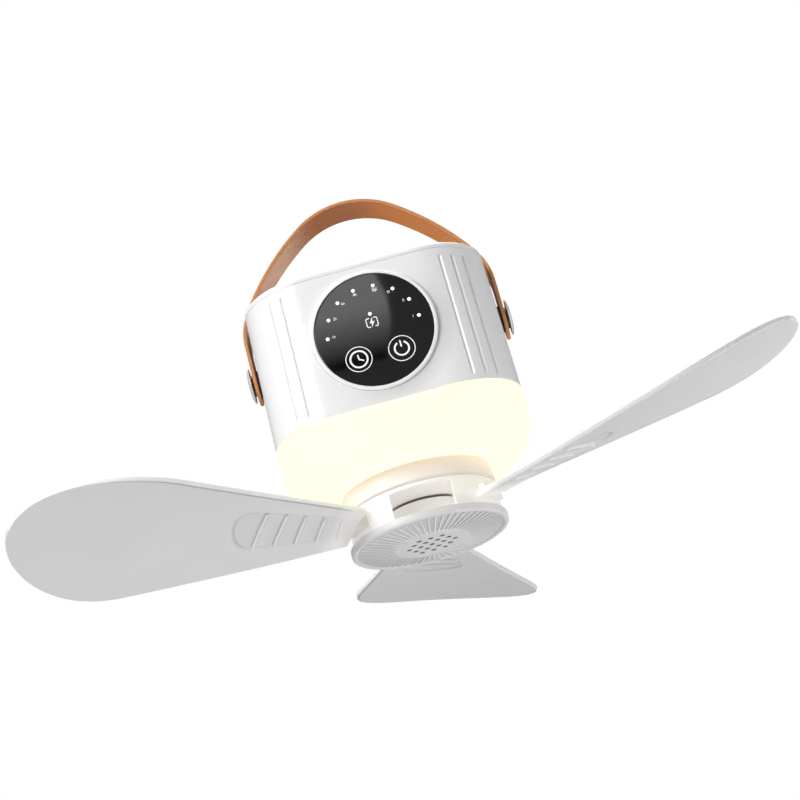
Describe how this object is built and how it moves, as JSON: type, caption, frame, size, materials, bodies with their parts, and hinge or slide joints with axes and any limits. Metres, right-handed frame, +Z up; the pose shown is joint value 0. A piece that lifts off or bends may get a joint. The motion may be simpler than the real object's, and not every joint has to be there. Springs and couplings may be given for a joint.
{
  "type": "portable camping fan",
  "caption": "Hanging battery camping fan with pull-out blades under a lamp ring, round touch panel and leather carry strap.",
  "frame": {"origin": "underside of the carry strap's crown, where a hook or branch bears", "axes": "+Z up along the rotor axis, +X along the two strap rivets, -Y out of the touch panel"},
  "size_m": [0.3307, 0.2981, 0.1625],
  "materials": {
    "shell_white": "gloss white",
    "lid_white": "gloss white",
    "bezel_white": "gloss white",
    "lens_black": "high gloss",
    "board_green": "solder mask",
    "lamp_white": "clear",
    "pad_grey": "matte",
    "strap_leather": "smooth tan",
    "rivet_steel": "polished",
    "spacer_black": "matte",
    "washer_dark": "dark",
    "steel": "plain",
    "diffuser_milk": "satin, glows",
    "collar_white": "satin",
    "chassis_white": "matte",
    "board_white": "white mask",
    "led_yellow": "phosphor",
    "cell_wrap": "shrink wrap",
    "socket_steel": "stamped",
    "cover_rubber": "matte",
    "motor_alu": "turned",
    "core_steel": "laminated",
    "copper": "enamelled wire",
    "magnet": "nickel",
    "hub_white": "satin",
    "cap_white": "satin",
    "blade_white": "satin"
  },
  "bodies": {
    "handle": {"strap": "strap_leather"},
    "housing": {"main_shell": "shell_white", "top_cover": "lid_white", "panel_bezel": "bezel_white", "panel_lens": "lens_black", "touch_board": "board_green", "indicator_leds": "lamp_white", "touch_pads": "pad_grey", "pivot_rivets": "rivet_steel", "pivot_spacers": "spacer_black", "pivot_washers": "washer_dark", "pivot_nuts": "steel", "diffuser": "diffuser_milk", "collar": "collar_white", "chassis": "chassis_white", "chassis_screws": "steel", "collar_screws": "steel", "led_board": "board_white", "light_leds": "led_yellow", "battery_cells": "cell_wrap", "battery_holder": "spacer_black", "main_board": "board_green", "usb_socket": "socket_steel", "socket_cover": "cover_rubber", "motor_base": "motor_alu", "motor_stator": "core_steel", "motor_windings": "copper", "motor_bearings": "steel", "motor_screws": "steel"},
    "rotor": {"motor_bell": "core_steel", "motor_magnets": "magnet", "motor_shaft": "steel", "rotor_hub": "hub_white", "shaft_nut": "steel", "hub_cap": "cap_white"},
    "blade_a": {"blade_a": "blade_white"},
    "blade_b": {"blade_b": "blade_white"},
    "blade_c": {"blade_c": "blade_white"}
  },
  "joints": [
    {"name": "strap_swing", "type": "hinge", "parent": "handle", "child": "housing", "pos_m": [0, 0, -0.0696], "axis": [1, 0, 0], "range_deg": [-20, 20]},
    {"name": "rotor_spin", "type": "hinge", "parent": "housing", "child": "rotor", "pos_m": [0, 0, -0.1492], "axis": [0, 0, 1], "continuous": true},
    {"name": "blade_a_pull", "type": "slide", "parent": "rotor", "child": "blade_a", "axis": [-0.0349, 0.9994, 0], "range_m": [0, 0.03]},
    {"name": "blade_b_pull", "type": "slide", "parent": "rotor", "child": "blade_b", "axis": [-0.848, -0.5299, 0], "range_m": [0, 0.03]},
    {"name": "blade_c_pull", "type": "slide", "parent": "rotor", "child": "blade_c", "axis": [0.8829, -0.4695, 0], "range_m": [0, 0.03]}
  ]
}
